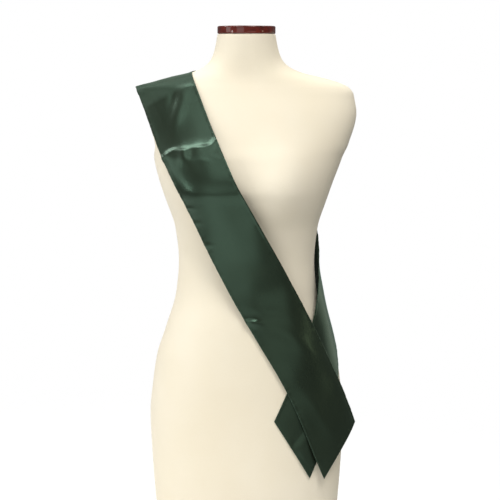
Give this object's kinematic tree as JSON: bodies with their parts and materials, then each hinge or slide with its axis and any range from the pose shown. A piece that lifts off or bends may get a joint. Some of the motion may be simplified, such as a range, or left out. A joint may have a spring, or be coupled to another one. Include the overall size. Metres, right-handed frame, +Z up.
{
  "type": "satin sash on a limbless dress form",
  "caption": "Long satin sash over one shoulder of a limbless dress form, its two slant-cut ends crossing at the opposite hip, on a short round stand.",
  "frame": {"origin": "middle of the stand base's underside, on the surface that the form stands on", "axes": "+Z up, -Y is where the form's chest faces, +X is the form's own left, where the sash's two ends hang"},
  "size_m": [0.395, 0.32, 0.9248],
  "materials": {
    "satin": "dark green bridal satin, smooth and glossy along the folds",
    "jersey": "cream knitted cover, matte, stretched smooth",
    "lacquered_wood": "dark red-brown mahogany under gloss lacquer",
    "post_steel": "satin steel"
  },
  "bodies": {
    "root": {"sash_front": "satin", "sash_back": "satin", "form_torso": "jersey", "neck_cap": "lacquered_wood", "stand_post": "post_steel", "stand_base": "lacquered_wood"}
  },
  "joints": []
}
